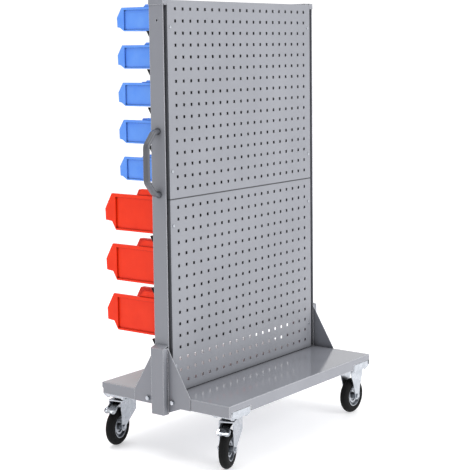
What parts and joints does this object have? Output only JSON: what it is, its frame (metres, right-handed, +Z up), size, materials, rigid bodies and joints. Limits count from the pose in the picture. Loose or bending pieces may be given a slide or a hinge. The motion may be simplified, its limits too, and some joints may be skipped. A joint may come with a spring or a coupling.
{
  "type": "mobile pegboard display stand",
  "caption": "Wheeled stand with square-hole pegboard panels on one face, hung storage bins on the other, a push handle and braked swivel casters.",
  "frame": {"origin": "on the floor, under the middle of the base deck", "axes": "+Z up; +X along the deck from the handle end with the swivel casters to the fixed-caster end; +Y from the perforated panels towards the bins"},
  "size_m": [0.928, 0.5495, 1.4755],
  "materials": {
    "frame_paint": "silver-grey powder coat, satin",
    "panel_paint": "silver-grey powder coat, satin",
    "deck_paint": "silver-grey powder coat, semi-gloss",
    "handle_paint": "darker grey coat, satin",
    "black_paint": "black powder coat",
    "blue_plastic": "moulded blue plastic, semi-gloss",
    "red_plastic": "moulded red plastic, semi-gloss",
    "zinc_plate": "bright zinc plate",
    "pedal_zinc": "bright zinc plate",
    "rim_zinc": "bright zinc plate",
    "tyre": "matt black rubber",
    "bearing_plastic": "dark moulded plastic"
  },
  "bodies": {
    "stand": {"base_deck": "deck_paint", "bottom_cross_rail": "frame_paint", "caster_bolts": "zinc_plate", "caster_mount_brackets": "zinc_plate", "caster_nuts": "zinc_plate", "fixed_axle_bolts": "zinc_plate", "fixed_axle_nuts": "zinc_plate", "foot_bracket_bolts": "zinc_plate", "foot_bracket_nuts": "zinc_plate", "handle": "handle_paint", "handle_screws": "zinc_plate", "large_bin_rails": "black_paint", "left_foot_bracket": "frame_paint", "left_front_caster_plate": "zinc_plate", "left_front_swivel_race": "zinc_plate", "left_rear_caster_plate": "zinc_plate", "left_rear_swivel_race": "zinc_plate", "left_upright": "frame_paint", "left_upright_cap": "frame_paint", "lower_front_panel": "panel_paint", "panel_screws": "zinc_plate", "rail_screws": "zinc_plate", "right_foot_bracket": "frame_paint", "right_front_fork": "zinc_plate", "right_rear_fork": "zinc_plate", "right_upright": "frame_paint", "right_upright_cap": "frame_paint", "small_bin_rails": "black_paint", "swivel_kingpins": "zinc_plate", "top_cross_rail": "frame_paint", "upper_front_panel": "panel_paint"},
    "small_bins_1": {"small_bin_row_1": "blue_plastic"},
    "small_bins_2": {"small_bin_row_2": "blue_plastic"},
    "small_bins_3": {"small_bin_row_3": "blue_plastic"},
    "small_bins_4": {"small_bin_row_4": "blue_plastic"},
    "small_bins_5": {"small_bin_row_5": "blue_plastic"},
    "large_bins_1": {"large_bin_row_1": "red_plastic"},
    "large_bins_2": {"large_bin_row_2": "red_plastic"},
    "large_bins_3": {"large_bin_row_3": "red_plastic"},
    "left_front_swivel": {"left_front_fork": "zinc_plate", "left_front_axle_bolt": "zinc_plate", "left_front_axle_nut": "zinc_plate"},
    "left_front_pedal": {"left_front_brake_pedal": "pedal_zinc"},
    "left_front_wheel": {"left_front_rim": "rim_zinc", "left_front_tyre": "tyre", "left_front_wheel_bearing": "bearing_plastic"},
    "left_rear_swivel": {"left_rear_fork": "zinc_plate", "left_rear_axle_bolt": "zinc_plate", "left_rear_axle_nut": "zinc_plate"},
    "left_rear_pedal": {"left_rear_brake_pedal": "pedal_zinc"},
    "left_rear_wheel": {"left_rear_rim": "rim_zinc", "left_rear_tyre": "tyre", "left_rear_wheel_bearing": "bearing_plastic"},
    "right_front_wheel": {"right_front_rim": "rim_zinc", "right_front_tyre": "tyre", "right_front_wheel_bearing": "bearing_plastic"},
    "right_rear_wheel": {"right_rear_rim": "rim_zinc", "right_rear_tyre": "tyre", "right_rear_wheel_bearing": "bearing_plastic"}
  },
  "joints": [
    {"name": "small_bins_1_lift", "type": "slide", "parent": "stand", "child": "small_bins_1", "axis": [0, 0, 1], "range_m": [0, 0.01]},
    {"name": "small_bins_2_lift", "type": "slide", "parent": "stand", "child": "small_bins_2", "axis": [0, 0, 1], "range_m": [0, 0.01]},
    {"name": "small_bins_3_lift", "type": "slide", "parent": "stand", "child": "small_bins_3", "axis": [0, 0, 1], "range_m": [0, 0.01]},
    {"name": "small_bins_4_lift", "type": "slide", "parent": "stand", "child": "small_bins_4", "axis": [0, 0, 1], "range_m": [0, 0.01]},
    {"name": "small_bins_5_lift", "type": "slide", "parent": "stand", "child": "small_bins_5", "axis": [0, 0, 1], "range_m": [0, 0.01]},
    {"name": "large_bins_1_lift", "type": "slide", "parent": "stand", "child": "large_bins_1", "axis": [0, 0, 1], "range_m": [0, 0.01]},
    {"name": "large_bins_2_lift", "type": "slide", "parent": "stand", "child": "large_bins_2", "axis": [0, 0, 1], "range_m": [0, 0.01]},
    {"name": "large_bins_3_lift", "type": "slide", "parent": "stand", "child": "large_bins_3", "axis": [0, 0, 1], "range_m": [0, 0.01]},
    {"name": "left_front_swivel_turn", "type": "hinge", "parent": "stand", "child": "left_front_swivel", "pos_m": [-0.352, -0.223, 0.154], "axis": [0, 0, 1], "continuous": true},
    {"name": "left_front_pedal_press", "type": "hinge", "parent": "left_front_swivel", "child": "left_front_pedal", "pos_m": [-0.37831, -0.23258, 0.144], "axis": [-0.342, 0.9397, 0], "range_deg": [-6, 0]},
    {"name": "left_front_wheel_roll", "type": "hinge", "parent": "left_front_swivel", "child": "left_front_wheel", "pos_m": [-0.38677, -0.23566, 0.0625], "axis": [-0.342, 0.9397, 0], "continuous": true},
    {"name": "left_rear_swivel_turn", "type": "hinge", "parent": "stand", "child": "left_rear_swivel", "pos_m": [-0.368, 0.223, 0.154], "axis": [0, 0, 1], "continuous": true},
    {"name": "left_rear_pedal_press", "type": "hinge", "parent": "left_rear_swivel", "child": "left_rear_pedal", "pos_m": [-0.39549, 0.21766, 0.144], "axis": [-0.1908, 0.9816, 0], "range_deg": [-6, 0]},
    {"name": "left_rear_wheel_roll", "type": "hinge", "parent": "left_rear_swivel", "child": "left_rear_wheel", "pos_m": [-0.40432, 0.21594, 0.0625], "axis": [-0.1908, 0.9816, 0], "continuous": true},
    {"name": "right_front_wheel_roll", "type": "hinge", "parent": "stand", "child": "right_front_wheel", "pos_m": [0.369, -0.223, 0.0625], "axis": [0, 1, 0], "continuous": true},
    {"name": "right_rear_wheel_roll", "type": "hinge", "parent": "stand", "child": "right_rear_wheel", "pos_m": [0.369, 0.223, 0.0625], "axis": [0, 1, 0], "continuous": true}
  ]
}
